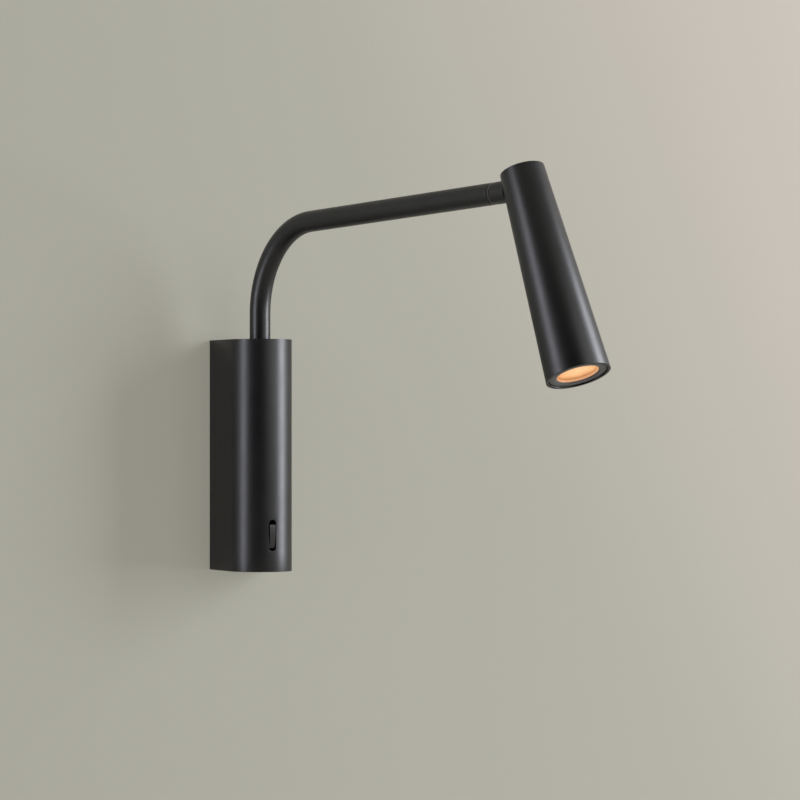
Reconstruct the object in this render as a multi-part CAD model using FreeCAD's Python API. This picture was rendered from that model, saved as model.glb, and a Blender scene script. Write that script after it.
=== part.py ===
import FreeCAD, Part
import math
import os

from FreeCAD import Placement, Rotation, Vector

# Wall reading lamp: a D-shaped wall box with a rocker switch, a bent tube arm that swings in
# the box, a swivel near the arm's end, and a tapered head that tilts on the swivel's tongue.
# Row frame: the wall is the plane Y = 0, the lamp stands out towards -Y, Z is up, and the
# origin is the middle of the wall box's back. All sizes are in millimetres and degrees.

os.makedirs("parts", exist_ok=True)

# Fits
running_gap = 0.05  # radial, a shaft turning in its bush
seat_gap = 0.04  # round a piece that is pressed, clamped or screwed into its seat
face_gap = 0.05  # between faces that slide on each other
free_gap = 0.3  # where nothing bears
overrun = 1.0  # how far a cut runs past the face that it breaks through
beyond_all = 60.0  # further than any side of a piece that is cut

# Wall box
base_width = 36.8
base_height = 134.0
arm_axis_depth = 31.8  # wall to the arm's turning axis, which is also the front curve's centre
base_wall = 2.0
base_edge_round = 0.4
cap_thickness = 4.0

# Wall plate
plate_thickness = 1.5
plate_side_gap = 0.3
plate_tab_width = 12.0
plate_tab_reach = 13.0
wall_screw_spacing = 104.0
wall_screw_hole_radius = 2.25
cable_entry_z = -17.0
cable_entry_radius = 5.5
grommet_bore_radius = 4.0
grommet_flange_radius = 7.0
grommet_flange_thickness = 1.2

# Small screws: shank radius, head radius, head height
m3_radius = 1.5
m3_head_radius = 2.6
m3_head_height = 1.7
m2_radius = 1.0
m2_head_radius = 1.8
m2_head_height = 1.2
drive_share = 0.6  # size of a screw's drive recess against its shank and head
housing_screw_length = 9.0
housing_screw_y = -7.0

# Earth screw
earth_screw_x = 12.2
earth_screw_z = -20.5
earth_screw_length = 4.5
earth_washer_radius = 3.4
earth_washer_thickness = 0.8

# Mains terminal block
terminal_width = 24.0
terminal_depth = 12.0
terminal_height = 14.0
terminal_z = -35.0
terminal_pitch = 8.0
terminal_poles = 3
terminal_sleeve_radius = 2.2
terminal_bore_radius = 1.3
terminal_screw_radius = 1.4
terminal_sleeve_end = 1.0  # plastic left beyond each end of a sleeve
terminal_screw_sink = 0.5  # below the block's front
terminal_slot_width = 0.6
terminal_slot_depth = 0.7

# Lamp driver
driver_width = 23.0
driver_depth = 16.0
driver_height = 46.0
driver_z = 19.0
driver_wall = 1.2
driver_ear = 5.0
driver_ear_thickness = 1.5
board_thickness = 1.6
driver_board_inset = 3.5
transformer_width = 13.0
transformer_height = 15.0
transformer_depth = 7.5
capacitor_radius = 3.2
capacitor_length = 9.0
driver_ledge = 1.2  # ledge inside the case, which carries the board's long edges
transformer_above_middle = 2.0
capacitor_spacing = 10.0
capacitor_above_bottom = 20.0
wire_entry_y = -12.0  # where the supply wires enter the driver
lead_exit_z = 8.0  # where the lamp lead leaves the driver's lid

# Rocker switch
switch_z = -46.0
switch_slot_width = 4.4
switch_slot_height = 18.0
switch_body_width = 11.0
switch_body_height = 24.0
switch_body_depth = 12.0
switch_front_gap = 1.2  # back of the front wall, on the centre line, to the switch body
rocker_width = 3.4
rocker_height = 13.6
rocker_proud = 0.3
rocker_crown = 0.7
rocker_depth = 3.4
rocker_pivot_depth = 5.2
rocker_pocket_depth = 5.8
rocker_pin_radius = 0.8
rocker_pin_reach = 1.0
rocker_throw = 6.0  # tilt each way from square
rocker_side_gap = 0.25
rocker_end_slope = 1.2
rocker_stem_half = 1.6
rocker_stem_bite = 0.5
bracket_thickness = 1.0
blade_width = 4.0
blade_thickness = 0.8
blade_length = 4.0
blade_offset = 5.0
blade_seat = 2.0  # depth of a blade in the switch body
blade_seat_end_gap = 0.1
bracket_window_gap = 1.0

# Arm tube
tube_radius = 6.0
tube_wall = 1.2
arm_height = 64.0  # top of the wall box to where the arm's two straight centre lines cross
arm_bend_radius = 51.5
arm_rise = 2.5  # slope of the upper run
arm_length = 241.0  # crossing of the centre lines to the head's tilt axis
arm_rest_swing = 12.5  # where the arm points at rest, from straight ahead
arm_tail = 4.0  # tube below the retainer

# Arm bearing
carrier_flange_radius = 15.8
carrier_flange_thickness = 4.0
carrier_barrel_radius = 10.0
carrier_barrel_length = 21.0
carrier_screw_circle = 13.1
carrier_screws_count = 3
carrier_screw_skin = 1.0  # cap left above a carrier screw's end
bush_radius = 8.0
bush_length = 8.0
shoulder_radius = 7.5
shoulder_length = 4.0
thrust_washer_thickness = 0.8
spring_washer_height = 1.2
spring_washer_thickness = 0.6
retainer_radius = 8.2
retainer_length = 5.5
swing_limit = 90.0
swing_stop_length = 7.0
swing_stop_gap = 0.4
swing_pin_radius = 1.2
swing_pin_reach = 10.4
retainer_screw_radius = 1.2

# Swivel at the arm's end
swivel_from_tilt_axis = 25.6
swivel_ring_width = 1.5
swivel_ring_radius = 5.95
swivel_groove = 0.45
swivel_core_radius = 5.35
spigot_radius = 3.0
lead_bore_radius = 1.9
end_bush_length = 12.0
swivel_washer_thickness = 0.5
swivel_nut_length = 2.5
swivel_nut_radius = 4.4
swivel_stop_circle = 3.9
swivel_stop_radius = 0.55
swivel_stop_depth = 1.5
swivel_limit = 160.0
swivel_rim_bite = 0.3  # how deep the ring's rim runs into its core
swivel_core_gap = 0.2
swivel_stop_side_gap = 0.1
swivel_stop_end_play = 0.5  # degrees
stop_pin_bite = 3.0

# Tongue and tilt joint
tongue_width = 10.0
collar_from_tilt_axis = 13.0
tilt_pin_radius = 2.0
tilt_pin_inner = 2.6
tilt_pin_outer = 9.8
tilt_washer_thickness = 0.5
tilt_washer_radius = 4.8
tongue_slot_width = 4.2

# Head
head_above_axis = 10.5
head_below_axis = 107.0
head_top_radius = 11.95
head_mouth_radius = 17.25
head_wall = 1.5
head_edge_round = 0.4
head_rest_tilt = 22.65  # outward lean of the head at rest, from hanging straight down
head_slot_gap = 0.3
head_cap_thickness = 2.0
yoke_below_axis = 15.0
yoke_screw_z = -10.6
yoke_screw_depth = 6.0
yoke_drive_depth = 1.4
yoke_drive_share = 0.55
heat_sink_length = 26.0
heat_sink_base = 6.0
heat_sink_fins = 12
heat_sink_slot = 1.6
heat_sink_hub = 4.5
board_radius = 9.5
board_screw_circle = 7.4
board_screw_length = 6.0
emitter_radius = 4.5
emitter_height = 1.2
reflector_top_radius = 5.2
reflector_mouth_radius = 12.2
reflector_wall = 0.8
reflector_height = 14.5
reflector_flange = 1.0
reflector_flange_radius = 14.4
lens_thickness = 2.0
gasket_thickness = 0.9
gasket_width = 1.7
ring_thickness = 1.6
ring_recess = 0.6
ring_edge_gap = 0.4
aperture_radius = 11.2
aperture_chamfer = 0.8

# Wires
wire_radius = 0.9
lead_radius = 1.4
lead_joint_gap = 6.0  # from the end bush back along the arm to where the lead is parted
lead_break = 1.8  # half the gap between lead pieces where a joint parts them
wire_corner_share = 0.45  # share of a straight run that each corner's arc takes
live_loop = 8.0  # how far the live wire swings out at each of its turns
switched_loop = 9.0
switched_turn_y = -20.0
switched_turn_drop = 15.0  # below the driver
driver_entry_drop = 7.0  # where a supply wire turns up, below the driver
neutral_loop = 9.0
earth_loop = 4.5
earth_turn_x = 5.0  # before the earth screw
earth_turn_back = 1.0

# Levels and places worked out from the sizes above
top_z = base_height / 2
cap_z = top_z - cap_thickness
inner_half = base_width / 2 - base_wall
front_inner_y = -arm_axis_depth - inner_half
front_outer_y = -arm_axis_depth - base_width / 2
plate_top_z = cap_z - free_gap
plate_half = inner_half - plate_side_gap
barrel_bottom_z = cap_z - carrier_flange_thickness - carrier_barrel_length
shoulder_z = barrel_bottom_z + bush_length + face_gap
washer_top_z = barrel_bottom_z - face_gap
spring_top_z = washer_top_z - thrust_washer_thickness - face_gap
retainer_top_z = spring_top_z - spring_washer_height - face_gap
retainer_bottom_z = retainer_top_z - retainer_length
swing_pin_z = (retainer_top_z + retainer_bottom_z) / 2
tube_bottom_z = retainer_bottom_z - arm_tail
tube_bore = tube_radius - tube_wall
arm_corner_z = top_z + arm_height
arm_turn = 90 - arm_rise
arm_tangent = arm_bend_radius * math.tan(math.radians(arm_turn / 2))
swivel_half = swivel_ring_width / 2 + swivel_groove
tube_end = swivel_from_tilt_axis + swivel_half
collar_end = swivel_from_tilt_axis - swivel_half
bush_end = tube_end + end_bush_length
lead_joint = bush_end + lead_joint_gap  # where the arm's lead meets the turning piece
cheek_gap = tongue_width / 2 + tilt_washer_thickness + face_gap
driver_bottom_z = driver_z - driver_height / 2
driver_top_z = driver_z + driver_height / 2
driver_front_y = -plate_thickness - driver_depth
terminal_y = -plate_thickness - terminal_depth / 2
switch_front_y = front_inner_y + switch_front_gap
switch_back_y = switch_front_y + switch_body_depth
rocker_pivot_y = front_outer_y + rocker_pivot_depth
pocket_half = rocker_width / 2 + rocker_side_gap
driver_half = driver_width / 2
lid_back_y = driver_front_y + driver_wall
board_back_y = -plate_thickness - driver_board_inset
board_front_y = board_back_y - board_thickness
carrier_screw_bite = cap_thickness - carrier_screw_skin
head_slot_width = 2 * (tube_radius + head_slot_gap)
washer_start = bush_end + face_gap
nut_start = washer_start + swivel_washer_thickness + face_gap

# Levels along the head's axis, zero at the tilt axis
ring_face = -head_below_axis + ring_recess
ring_back = ring_face + ring_thickness
gasket_back = ring_back + gasket_thickness + seat_gap
lens_back = gasket_back + lens_thickness + seat_gap
reflector_face = lens_back + seat_gap
reflector_back = reflector_face + reflector_height
emitter_face = reflector_back
emitter_back = emitter_face + emitter_height
board_back = emitter_back + board_thickness + seat_gap
sink_face = board_back + seat_gap
sink_back = sink_face + heat_sink_length

# Places of the moving groups
arm_place = Placement(Vector(0, -arm_axis_depth, 0), Rotation(Vector(0, 0, 1), arm_rest_swing))
rise = math.radians(arm_rise)
tilt_axis_point = Vector(0, -arm_length * math.cos(rise), arm_corner_z + arm_length * math.sin(rise))
run_place = arm_place.multiply(Placement(tilt_axis_point, Rotation(Vector(1, 0, 0), -arm_rise)))
head_place = arm_place.multiply(Placement(tilt_axis_point, Rotation(Vector(1, 0, 0), -head_rest_tilt)))
here = Placement()

X = Vector(1, 0, 0)
Y = Vector(0, 1, 0)
Z = Vector(0, 0, 1)


def save(name, shape, place=here):
    """Writes one node, moved from its own group's frame to the lamp's."""
    moved = shape.copy()
    moved.Placement = place.multiply(shape.Placement)
    moved.exportStep("parts/" + name + ".step")
    print(name, len(moved.Solids), round(moved.Volume, 1), moved.isValid())


def group(solids):
    return Part.makeCompound(solids)


def joined(shapes):
    first, rest = shapes[0], shapes[1:]
    return first.fuse(rest).removeSplitter() if rest else first


def rod(radius, start, end):
    """A round bar between two points."""
    along = end.sub(start)
    return Part.makeCylinder(radius, along.Length, start, along)


def upright(radius, low, high, x=0.0, y=0.0):
    return rod(radius, Vector(x, y, low), Vector(x, y, high))


def washer(outer, inner, low, high, x=0.0, y=0.0):
    return upright(outer, low, high, x, y).cut(upright(inner, low - overrun, high + overrun, x, y))


def block(x0, x1, y0, y1, z0, z1):
    return Part.makeBox(x1 - x0, y1 - y0, z1 - z0, Vector(x0, y0, z0))


def taper(low_radius, high_radius, low, high):
    """A solid cone frustum on the group's Z axis."""
    return Part.makeCone(low_radius, high_radius, high - low, Vector(0, 0, low), Z)


def turned(outline):
    """A solid of revolution about Z from (radius, z) points."""
    points = [Vector(radius, 0, z) for radius, z in outline]
    face = Part.Face(Part.makePolygon(points + [points[0]]))
    return face.revolve(Vector(0, 0, 0), Z, 360)


def d_block(half, back, low, high):
    """Flat back and sides, with a half-round front about the arm's axis."""
    corner = Vector(-half, -arm_axis_depth, low)
    other = Vector(half, -arm_axis_depth, low)
    front = Part.Arc(corner, Vector(0, -arm_axis_depth - half, low), other).toShape()
    left = Part.makeLine(Vector(-half, back, low), corner)
    right = Part.makeLine(other, Vector(half, back, low))
    rear = Part.makeLine(Vector(half, back, low), Vector(-half, back, low))
    return Part.Face(Part.Wire([left, front, right, rear])).extrude(Vector(0, 0, high - low))


def oblong(width, height, y0, y1, z):
    """A round-ended upright slot running along Y."""
    half = height / 2 - width / 2
    ends = [rod(width / 2, Vector(0, y0, z + side * half), Vector(0, y1, z + side * half)) for side in (-1, 1)]
    return joined([block(-width / 2, width / 2, y0, y1, z - half, z + half)] + ends)


def rounded(shape, radius, wanted):
    """Rounds the edges whose middle satisfies a test."""
    middles = [(edge, edge.valueAt((edge.FirstParameter + edge.LastParameter) / 2)) for edge in shape.Edges]
    return shape.makeFillet(radius, [edge for edge, middle in middles if wanted(middle)])


def cable(points, radius):
    """A round wire along straight runs, each corner an arc as large as its runs allow."""
    edges = []
    start = points[0]
    for before, corner, after in zip(points, points[1:], points[2:]):
        into = corner.sub(before)
        out = after.sub(corner)
        turn = into.getAngle(out)
        cut = wire_corner_share * min(into.Length, out.Length)
        into.normalize()
        out.normalize()
        arc_start = corner.sub(into * cut)
        arc_end = corner.add(out * cut)
        bisector = out.sub(into)
        bisector.normalize()
        bend = cut / math.tan(turn / 2)
        middle = corner.add(bisector * (bend / math.cos(turn / 2) - bend))
        edges.append(Part.makeLine(start, arc_start))
        edges.append(Part.Arc(arc_start, middle, arc_end).toShape())
        start = arc_end
    edges.append(Part.makeLine(start, points[-1]))
    path = Part.Wire(edges)
    section = Part.Wire(Part.makeCircle(radius, points[0], points[1].sub(points[0])))
    solid = path.makePipeShell([section], True, False)
    print("wire", round(solid.Volume / (math.pi * radius ** 2 * path.Length), 3), "of section times length")
    return solid


def screw(shank, head, head_height, length, seat, along):
    """A pan-head screw: its head's underside at the seat, its shank going along."""
    along = Vector(along)
    along.normalize()
    top = seat.sub(along * head_height)
    drive = rod(shank * drive_share, top, top.add(along * (head_height * drive_share)))
    return joined([rod(head, top, seat), rod(shank, seat, seat.add(along * length))]).cut(drive)


def head_outer(z):
    """Outer radius of the head's cone at a level on its axis."""
    share = (head_above_axis - z) / (head_above_axis + head_below_axis)
    return head_top_radius + (head_mouth_radius - head_top_radius) * share


def head_inner(z):
    return head_outer(z) - head_wall


def in_head(low, high, gap):
    """A solid plug that fits the inside of the head's cone."""
    return taper(head_inner(low) - gap, head_inner(high) - gap, low, high)


# ------------------------------------------------------------------ wall box, its caps and plate
def housing_screw_points():
    """Outer face point and inward direction of the two screws that hold the box to its plate."""
    return [(Vector(0, housing_screw_y, side * top_z), Vector(0, 0, -side)) for side in (1, -1)]


def countersunk(start, along, gap=0.0):
    """A flush countersunk screw, or with a gap the hole for it."""
    deep = start.add(along * m3_head_height)
    head = Part.makeCone(m3_head_radius + gap, m3_radius + gap, m3_head_height, start, along)
    return joined([head, rod(m3_radius + gap, deep, start.add(along * (housing_screw_length + gap)))])


def make_housing():
    shell = d_block(base_width / 2, 0, -top_z, top_z)
    shell = rounded(shell, base_edge_round, lambda p: abs(abs(p.z) - top_z) < seat_gap and p.y < -seat_gap)
    shell = shell.cut(d_block(inner_half, overrun, -top_z - overrun, top_z + overrun))
    return shell.cut(oblong(switch_slot_width, switch_slot_height, front_outer_y - overrun,
                            front_inner_y + overrun, switch_z))


def make_cap(low, high):
    cap = d_block(inner_half - seat_gap, 0, low, high)
    for point, along in housing_screw_points():
        cap = cap.cut(countersunk(point, along, seat_gap))
    return cap


def carrier_screw_places():
    """Three screws round the arm's axis, one of them straight in front."""
    turns = [math.radians(-90 + 360 * i / carrier_screws_count) for i in range(carrier_screws_count)]
    return [(carrier_screw_circle * math.cos(turn), -arm_axis_depth + carrier_screw_circle * math.sin(turn))
            for turn in turns]


def make_top_cap():
    cap = make_cap(cap_z, top_z)
    cap = cap.cut(upright(tube_radius + free_gap, cap_z - overrun, top_z + overrun, 0, -arm_axis_depth))
    for x, y in carrier_screw_places():
        cap = cap.cut(upright(m3_radius + seat_gap, cap_z - overrun,
                              cap_z + carrier_screw_bite + seat_gap, x, y))
    return cap


def plate_hole(radius, x, z):
    return rod(radius, Vector(x, -plate_thickness - overrun, z), Vector(x, overrun, z))


def make_wall_plate():
    plate = block(-plate_half, plate_half, -plate_thickness, 0, -plate_top_z, plate_top_z)
    tabs = []
    for side in (1, -1):
        low, high = sorted((side * plate_top_z, side * (plate_top_z - plate_thickness)))
        tabs.append(block(-plate_tab_width / 2, plate_tab_width / 2, -plate_tab_reach, 0, low, high))
    plate = joined([plate] + tabs)
    for side in (1, -1):
        plate = plate.cut(plate_hole(wall_screw_hole_radius, 0, side * wall_screw_spacing / 2))
    plate = plate.cut(plate_hole(cable_entry_radius, 0, cable_entry_z))
    plate = plate.cut(plate_hole(m3_radius + seat_gap, earth_screw_x, earth_screw_z))
    for point, along in housing_screw_points():
        plate = plate.cut(countersunk(point, along, seat_gap))
    for x, z in driver_screw_places():
        plate = plate.cut(plate_hole(m2_radius + seat_gap, x, z))
    return plate


def make_grommet():
    """Rubber ring in the cable hole, with a flange on the lamp's side of the plate."""
    front = Vector(0, -plate_thickness - grommet_flange_thickness, cable_entry_z)
    seat = Vector(0, -plate_thickness - seat_gap, cable_entry_z)
    back = Vector(0, 0, cable_entry_z)
    body = joined([rod(grommet_flange_radius, front, seat), rod(cable_entry_radius - seat_gap, front, back)])
    return body.cut(rod(grommet_bore_radius, front.sub(Y), back.add(Y)))


def make_earth_screw():
    seat = Vector(earth_screw_x, -plate_thickness - earth_washer_thickness - seat_gap, earth_screw_z)
    plate_face = Vector(earth_screw_x, -plate_thickness - seat_gap, earth_screw_z)
    bolt = screw(m3_radius, m3_head_radius, m3_head_height, earth_screw_length, seat, Y)
    tag = rod(earth_washer_radius, seat.add(Y * seat_gap), plate_face)
    tag = tag.cut(rod(m3_radius + seat_gap, seat.sub(Y), plate_face.add(Y)))
    lamp_side = block(-beyond_all, beyond_all, -beyond_all, 0, -beyond_all, beyond_all)
    return group([bolt.common(lamp_side), tag])


save("housing", make_housing())
save("top_cap", make_top_cap())
save("bottom_cap", make_cap(-top_z, -cap_z))
save("housing_screws", group([countersunk(point, along) for point, along in housing_screw_points()]))


# ------------------------------------------------------------------ terminal block
def pole_x(i):
    return (i - (terminal_poles - 1) / 2) * terminal_pitch


def make_terminal_block():
    low = terminal_z - terminal_height / 2
    high = terminal_z + terminal_height / 2
    front = -plate_thickness - terminal_depth
    body = block(-terminal_width / 2, terminal_width / 2, front, -plate_thickness - seat_gap, low, high)
    for i in range(terminal_poles):
        x = pole_x(i)
        body = body.cut(upright(terminal_sleeve_radius + seat_gap, low + terminal_sleeve_end - seat_gap,
                                high - terminal_sleeve_end + seat_gap, x, terminal_y))
        body = body.cut(upright(terminal_bore_radius, low - overrun, high + overrun, x, terminal_y))
        body = body.cut(rod(terminal_screw_radius + seat_gap, Vector(x, front - overrun, terminal_z),
                            Vector(x, terminal_y, terminal_z)))
    return body


def make_terminal_sleeves():
    low = terminal_z - terminal_height / 2 + terminal_sleeve_end
    high = terminal_z + terminal_height / 2 - terminal_sleeve_end
    sleeves = []
    for i in range(terminal_poles):
        sleeve = washer(terminal_sleeve_radius, terminal_bore_radius, low, high, pole_x(i), terminal_y)
        hole = rod(terminal_screw_radius + seat_gap, Vector(pole_x(i), terminal_y - terminal_depth, terminal_z),
                   Vector(pole_x(i), terminal_y, terminal_z))
        sleeves.append(sleeve.cut(hole))
    return group(sleeves)


def make_terminal_screws():
    front = -plate_thickness - terminal_depth + terminal_screw_sink
    half = terminal_slot_width / 2
    tip = terminal_y - terminal_bore_radius
    bolts = []
    for i in range(terminal_poles):
        x = pole_x(i)
        bolt = rod(terminal_screw_radius, Vector(x, front, terminal_z), Vector(x, tip, terminal_z))
        cut = block(x - half, x + half, front - overrun, front + terminal_slot_depth,
                    terminal_z - terminal_screw_radius, terminal_z + terminal_screw_radius)
        bolts.append(bolt.cut(cut))
    return group(bolts)


save("terminal_block", make_terminal_block())
save("terminal_sleeves", make_terminal_sleeves())
save("terminal_screws", make_terminal_screws())


# ------------------------------------------------------------------ lamp driver
def driver_screw_places():
    return [(0.0, driver_top_z + driver_ear / 2), (0.0, driver_bottom_z - driver_ear / 2)]


def make_driver_case():
    case = block(-driver_half, driver_half, lid_back_y + seat_gap, -plate_thickness - seat_gap,
                 driver_bottom_z, driver_top_z)
    inside = block(-driver_half + driver_wall, driver_half - driver_wall, driver_front_y - overrun,
                   -plate_thickness - driver_wall, driver_bottom_z + driver_wall, driver_top_z - driver_wall)
    ears = block(-driver_ear, driver_ear, -plate_thickness - driver_ear_thickness, -plate_thickness - seat_gap,
                 driver_bottom_z - driver_ear, driver_top_z + driver_ear)
    case = joined([case, ears]).cut(inside)
    for x, z in driver_screw_places():
        case = case.cut(rod(m2_radius + seat_gap, Vector(x, driver_front_y, z), Vector(x, overrun, z)))
    for side in (-1, 1):
        near, far = sorted((side * driver_half, side * (driver_half - driver_wall - driver_ledge)))
        case = joined([case, block(near, far, board_back_y + seat_gap, -plate_thickness - driver_wall,
                                   driver_bottom_z + driver_wall, driver_top_z - driver_wall)])
    for x in (-driver_half / 2, driver_half / 2):
        case = case.cut(upright(wire_radius + seat_gap, driver_bottom_z - overrun,
                                driver_bottom_z + driver_wall + overrun, x, wire_entry_y))
    return case


def make_driver_lid():
    lid = block(-driver_half, driver_half, driver_front_y, lid_back_y, driver_bottom_z, driver_top_z)
    return lid.cut(rod(lead_radius + seat_gap, Vector(0, driver_front_y - overrun, lead_exit_z),
                       Vector(0, lid_back_y + overrun, lead_exit_z)))


def make_driver_board():
    inset = driver_wall + free_gap
    return block(-driver_half + inset, driver_half - inset, board_front_y, board_back_y,
                 driver_bottom_z + inset, driver_top_z - inset)


def make_driver_components():
    """Transformer and two capacitors standing on the driver's board."""
    face = board_front_y - seat_gap
    low = driver_z + transformer_above_middle
    transformer = block(-transformer_width / 2, transformer_width / 2, face - transformer_depth, face,
                        low, low + transformer_height)
    end = max(face - capacitor_length, lid_back_y + free_gap)
    level = driver_bottom_z + capacitor_above_bottom
    cans = [rod(capacitor_radius, Vector(x, face, level), Vector(x, end, level))
            for x in (-capacitor_spacing / 2, capacitor_spacing / 2)]
    return group([transformer] + cans)


def make_driver_screws():
    seat_y = -plate_thickness - driver_ear_thickness
    bolts = []
    for x, z in driver_screw_places():
        bolts.append(screw(m2_radius, m2_head_radius, m2_head_height, driver_ear_thickness + plate_thickness,
                           Vector(x, seat_y - seat_gap, z), Y))
    return group(bolts)


save("wall_plate", make_wall_plate())
save("cable_grommet", make_grommet())
save("earth_screw", make_earth_screw())
save("driver_case", make_driver_case())
save("driver_lid", make_driver_lid())
save("driver_board", make_driver_board())
save("driver_components", make_driver_components())
save("driver_screws", make_driver_screws())

# ------------------------------------------------------------------ rocker switch
rocker_pivot = Vector(0, rocker_pivot_y, switch_z)


def make_switch_body():
    body = block(-switch_body_width / 2, switch_body_width / 2, switch_front_y, switch_back_y,
                 switch_z - switch_body_height / 2, switch_z + switch_body_height / 2)
    body = body.cut(block(-pocket_half, pocket_half, switch_front_y - overrun,
                          switch_front_y + rocker_pocket_depth,
                          switch_z - switch_slot_height / 2, switch_z + switch_slot_height / 2))
    reach = pocket_half + rocker_pin_reach + free_gap
    bore = rocker_pin_radius + running_gap
    body = body.cut(rod(bore, rocker_pivot.sub(X * reach), rocker_pivot.add(X * reach)))
    for side in (-1, 1):
        z = switch_z + side * blade_offset
        across = blade_width / 2 + seat_gap
        upward = blade_thickness / 2 + seat_gap
        body = body.cut(block(-across, across, switch_back_y - blade_seat, switch_back_y + overrun,
                              z - upward, z + upward))
    return body


def make_switch_terminals():
    blades = []
    start = switch_back_y - blade_seat + blade_seat_end_gap
    for side in (-1, 1):
        z = switch_z + side * blade_offset
        blades.append(block(-blade_width / 2, blade_width / 2, start, switch_back_y + blade_length,
                            z - blade_thickness / 2, z + blade_thickness / 2))
    return group(blades)


def make_switch_bracket():
    """Plate across the box that holds the switch body against the front wall."""
    low = switch_z - switch_body_height / 2
    high = switch_z + switch_body_height / 2
    back = switch_back_y + bracket_thickness
    plate = block(-inner_half, inner_half, switch_back_y + seat_gap, back, low, high)
    plate = plate.common(d_block(inner_half - seat_gap, 0, low, high))
    across = blade_width / 2 + bracket_window_gap
    upward = blade_offset + blade_thickness / 2 + bracket_window_gap
    return plate.cut(block(-across, across, switch_back_y - overrun, back + overrun,
                           switch_z - upward, switch_z + upward))


def make_rocker():
    """Crowned rocker on two stub pins, tipped with its lower end in, which is on."""
    half = rocker_width / 2
    crest = front_outer_y - rocker_proud
    ends = crest + rocker_crown
    foot = crest + rocker_depth
    tip = rocker_height / 2
    face = Part.Arc(Vector(-half, ends, -tip), Vector(-half, crest, 0), Vector(-half, ends, tip)).toShape()
    base = tip - rocker_end_slope
    outline = Part.makePolygon([Vector(-half, ends, tip), Vector(-half, foot, base), Vector(-half, foot, -base),
                                Vector(-half, ends, -tip)])
    cap = Part.Face(Part.Wire([face] + outline.Edges)).extrude(X * rocker_width)
    stem = block(-half, half, foot - rocker_stem_bite, rocker_pivot_y, -rocker_stem_half, rocker_stem_half)
    boss = rod(rocker_stem_half, Vector(-half, rocker_pivot_y, 0), Vector(half, rocker_pivot_y, 0))
    reach = pocket_half + rocker_pin_reach
    pin = rod(rocker_pin_radius, Vector(-reach, rocker_pivot_y, 0), Vector(reach, rocker_pivot_y, 0))
    rocker = joined([cap, stem, boss, pin]).translated(Vector(0, 0, switch_z))
    rocker.rotate(rocker_pivot, X, rocker_throw)
    return rocker


save("switch_body", make_switch_body())
save("switch_terminals", make_switch_terminals())
save("switch_bracket", make_switch_bracket())
save("rocker", make_rocker())


# ------------------------------------------------------------------ wires in the wall box
def make_switch_wires():
    """Live wire from the terminal block to the switch, and on from the switch to the driver."""
    low = terminal_z - terminal_height / 2
    blade_y = switch_back_y + blade_length + face_gap
    lower = switch_z - blade_offset
    upper = switch_z + blade_offset
    live = cable([Vector(terminal_pitch, terminal_y, low), Vector(terminal_pitch, terminal_y, low - live_loop),
                  Vector(terminal_pitch, terminal_y - live_loop, lower), Vector(0, blade_y + live_loop, lower),
                  Vector(0, blade_y, lower)], wire_radius)
    half = driver_half / 2
    switched = cable([Vector(0, blade_y, upper), Vector(0, blade_y + switched_loop, upper),
                      Vector(half, switched_turn_y, driver_bottom_z - switched_turn_drop),
                      Vector(half, wire_entry_y, driver_bottom_z - driver_entry_drop),
                      Vector(half, wire_entry_y, driver_bottom_z + driver_wall)], wire_radius)
    return group([live, switched])


def make_neutral_wire():
    high = terminal_z + terminal_height / 2
    half = driver_half / 2
    return cable([Vector(-terminal_pitch, terminal_y, high),
                  Vector(-terminal_pitch, terminal_y, high + neutral_loop),
                  Vector(-half, wire_entry_y, driver_bottom_z - driver_entry_drop),
                  Vector(-half, wire_entry_y, driver_bottom_z + driver_wall)], wire_radius)


def make_earth_wire():
    high = terminal_z + terminal_height / 2
    tag_y = -plate_thickness - earth_washer_thickness - m3_head_height - wire_radius - 2 * seat_gap
    return cable([Vector(0, terminal_y, high), Vector(0, terminal_y, high + earth_loop),
                  Vector(earth_screw_x - earth_turn_x, terminal_y + earth_turn_back,
                         earth_screw_z - earth_turn_back),
                  Vector(earth_screw_x, tag_y, earth_screw_z)], wire_radius)


def make_base_lead():
    """Lamp lead from the driver's lid, forward and up the arm's axis to the tube."""
    return cable([Vector(0, lid_back_y, lead_exit_z), Vector(0, -arm_axis_depth, lead_exit_z),
                  Vector(0, -arm_axis_depth, tube_bottom_z - seat_gap)], lead_radius)


save("switch_wires", make_switch_wires())
save("neutral_wire", make_neutral_wire())
save("earth_wire", make_earth_wire())
save("lamp_lead_base", make_base_lead())


# ------------------------------------------------------------------ arm bearing, fixed to the box
def make_arm_carrier():
    """Flange under the top cap, a barrel for two bushes and a part ring that stops the swing."""
    flange = washer(carrier_flange_radius, bush_radius, cap_z - carrier_flange_thickness, cap_z - seat_gap)
    barrel = washer(carrier_barrel_radius, bush_radius, barrel_bottom_z, cap_z - carrier_flange_thickness)
    inner = retainer_radius + swing_stop_gap
    clear = math.degrees(math.asin((swing_pin_radius + face_gap) / inner))
    edge = swing_limit + clear
    low = barrel_bottom_z - swing_stop_length
    section = Part.Face(Part.makePolygon([
        Vector(0, -inner, low), Vector(0, -carrier_barrel_radius, low),
        Vector(0, -carrier_barrel_radius, barrel_bottom_z), Vector(0, -inner, barrel_bottom_z),
        Vector(0, -inner, low)]))
    section.rotate(Vector(0, 0, 0), Z, edge)
    stop = section.revolve(Vector(0, 0, 0), Z, 360 - 2 * edge)
    carrier = joined([flange, barrel, stop]).translated(Vector(0, -arm_axis_depth, 0))
    for x, y in carrier_screw_places():
        carrier = carrier.cut(upright(m3_radius + seat_gap, cap_z - carrier_flange_thickness - overrun,
                                      cap_z + overrun, x, y))
    return carrier


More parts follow.
